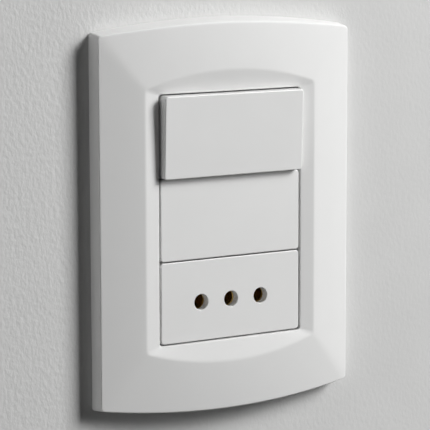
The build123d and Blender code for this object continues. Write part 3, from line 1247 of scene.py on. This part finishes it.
def area_lamp(name, place, power, width_share):
    """A square soft lamp, aimed at the middle of the part, that the camera doesn't see."""
    light = bpy.data.lights.new(name, "AREA")
    light.shape = "SQUARE"
    light.size = width_share * Vector(place).length
    light.energy = power
    lamp = bpy.data.objects.new(name, light)
    lamp.location = place
    lamp.rotation_mode = "QUATERNION"
    lamp.rotation_quaternion = aimed(place, (0.0, 0.0, 0.0))
    lamp.visible_camera = False
    bpy.context.scene.collection.objects.link(lamp)


def wall_corners(bm, width, height):
    """The corners of an upright rectangle in the wall's plane."""
    signs = ((-1, -1), (1, -1), (1, 1), (-1, 1))
    return [bm.verts.new((x * width / 2, 0.0, z * height / 2)) for x, z in signs]


def build_wall(settings):
    """The wall round the box's hole, which the plate's rim covers."""
    bm = bmesh.new()
    outer = wall_corners(bm, settings.wall_side, settings.wall_side)
    inner = wall_corners(bm, settings.hole_width, settings.hole_height)
    for i in range(4):
        j = (i + 1) % 4
        bm.faces.new((outer[i], outer[j], inner[j], inner[i]))
    mesh = bpy.data.meshes.new("plaster_wall")
    bm.to_mesh(mesh)
    bm.free()
    mesh.materials.append(painted_plaster(settings))
    wall = bpy.data.objects.new("plaster_wall", mesh)
    bpy.context.scene.collection.objects.link(wall)


def build_room(settings):
    """Faint even light, and a pale room for the camera, for gloss and for clear things."""
    world = bpy.data.worlds.new("room_light")
    world.use_nodes = True
    tree = world.node_tree
    tree.nodes.clear()
    ray = add_node(tree, "ShaderNodeLightPath")
    mirrored = add_node(
        tree,
        "ShaderNodeMath",
        {"operation": "MAXIMUM"},
        {0: ray.outputs["Is Glossy Ray"], 1: ray.outputs["Is Transmission Ray"]},
    )
    seen = add_node(
        tree,
        "ShaderNodeMath",
        {"operation": "MAXIMUM"},
        {0: ray.outputs["Is Camera Ray"], 1: mirrored.outputs[0]},
    )
    strength = add_node(
        tree,
        "ShaderNodeMapRange",
        {"To Min": settings.ambient, "To Max": 1.0},
        {"Value": seen.outputs[0]},
    )
    light = add_node(
        tree,
        "ShaderNodeBackground",
        {"Color": shade(settings.room_tint)},
        {"Strength": strength.outputs["Result"]},
    )
    add_node(tree, "ShaderNodeOutputWorld", {}, {"Surface": light.outputs["Background"]})
    bpy.context.scene.world = world


def build_camera(settings):
    """The camera at the photograph's viewing angle."""
    camera = bpy.data.cameras.new("photo_camera")
    camera.sensor_width = 36.0
    camera.lens = settings.camera_lens
    camera.clip_start = 0.01
    camera.clip_end = 20.0
    holder = bpy.data.objects.new("photo_camera", camera)
    turn = aimed(settings.camera_place, settings.camera_aim).to_matrix().to_4x4()
    roll = Matrix.Rotation(settings.camera_roll, 4, "Z")
    holder.matrix_world = Matrix.Translation(settings.camera_place) @ turn @ roll
    bpy.context.scene.collection.objects.link(holder)
    bpy.context.scene.camera = holder


class SWITCHSET_OT_stage(Operator):
    """Build the wall, the lamps, the room's light and the camera"""

    bl_idname = "switchset.stage"
    bl_label = "Stage"

    def execute(self, context):
        settings = context.scene.switchset.stage
        build_wall(settings)
        for name in ("key", "side", "low", "left", "rear"):
            area_lamp(
                name + "_lamp",
                getattr(settings, name + "_place"),
                getattr(settings, name + "_power"),
                settings.lamp_spread,
            )
        build_room(settings)
        build_camera(settings)
        context.scene.view_settings.view_transform = "Standard"
        return {"FINISHED"}


OPERATORS = (
    SWITCHSET_OT_cover_plate,
    SWITCHSET_OT_modules,
    SWITCHSET_OT_contacts,
    SWITCHSET_OT_screws,
    SWITCHSET_OT_stage,
)


class SWITCHSET_PT_sidebar(Panel):
    """Lists the pieces of the switch and socket combination"""

    bl_idname = "SWITCHSET_PT_sidebar"
    bl_label = "Switch and socket"
    bl_space_type = "VIEW_3D"
    bl_region_type = "UI"
    bl_category = "Wall switch"

    def draw(self, context):
        for operator in OPERATORS:
            self.layout.operator(operator.bl_idname)
        groups = context.scene.switchset
        for group in (groups.plate, groups.modules, groups.metal, groups.stage):
            box = self.layout.box()
            for name in group.bl_rna.properties.keys():
                if name not in {"rna_type", "name"}:
                    box.prop(group, name)


SETTINGS = (PlateSettings, ModuleSettings, MetalSettings, StageSettings, SetSettings)
CLASSES = SETTINGS + OPERATORS + (SWITCHSET_PT_sidebar,)


def register():
    for cls in CLASSES:
        bpy.utils.register_class(cls)
    bpy.types.Scene.switchset = PointerProperty(type=SetSettings)


def unregister():
    del bpy.types.Scene.switchset
    for cls in reversed(CLASSES):
        bpy.utils.unregister_class(cls)


def main():
    """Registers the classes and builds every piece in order."""
    register()
    for operator in OPERATORS:
        group, name = operator.bl_idname.split(".")
        getattr(getattr(bpy.ops, group), name)()


if __name__ == "__main__":
    main()
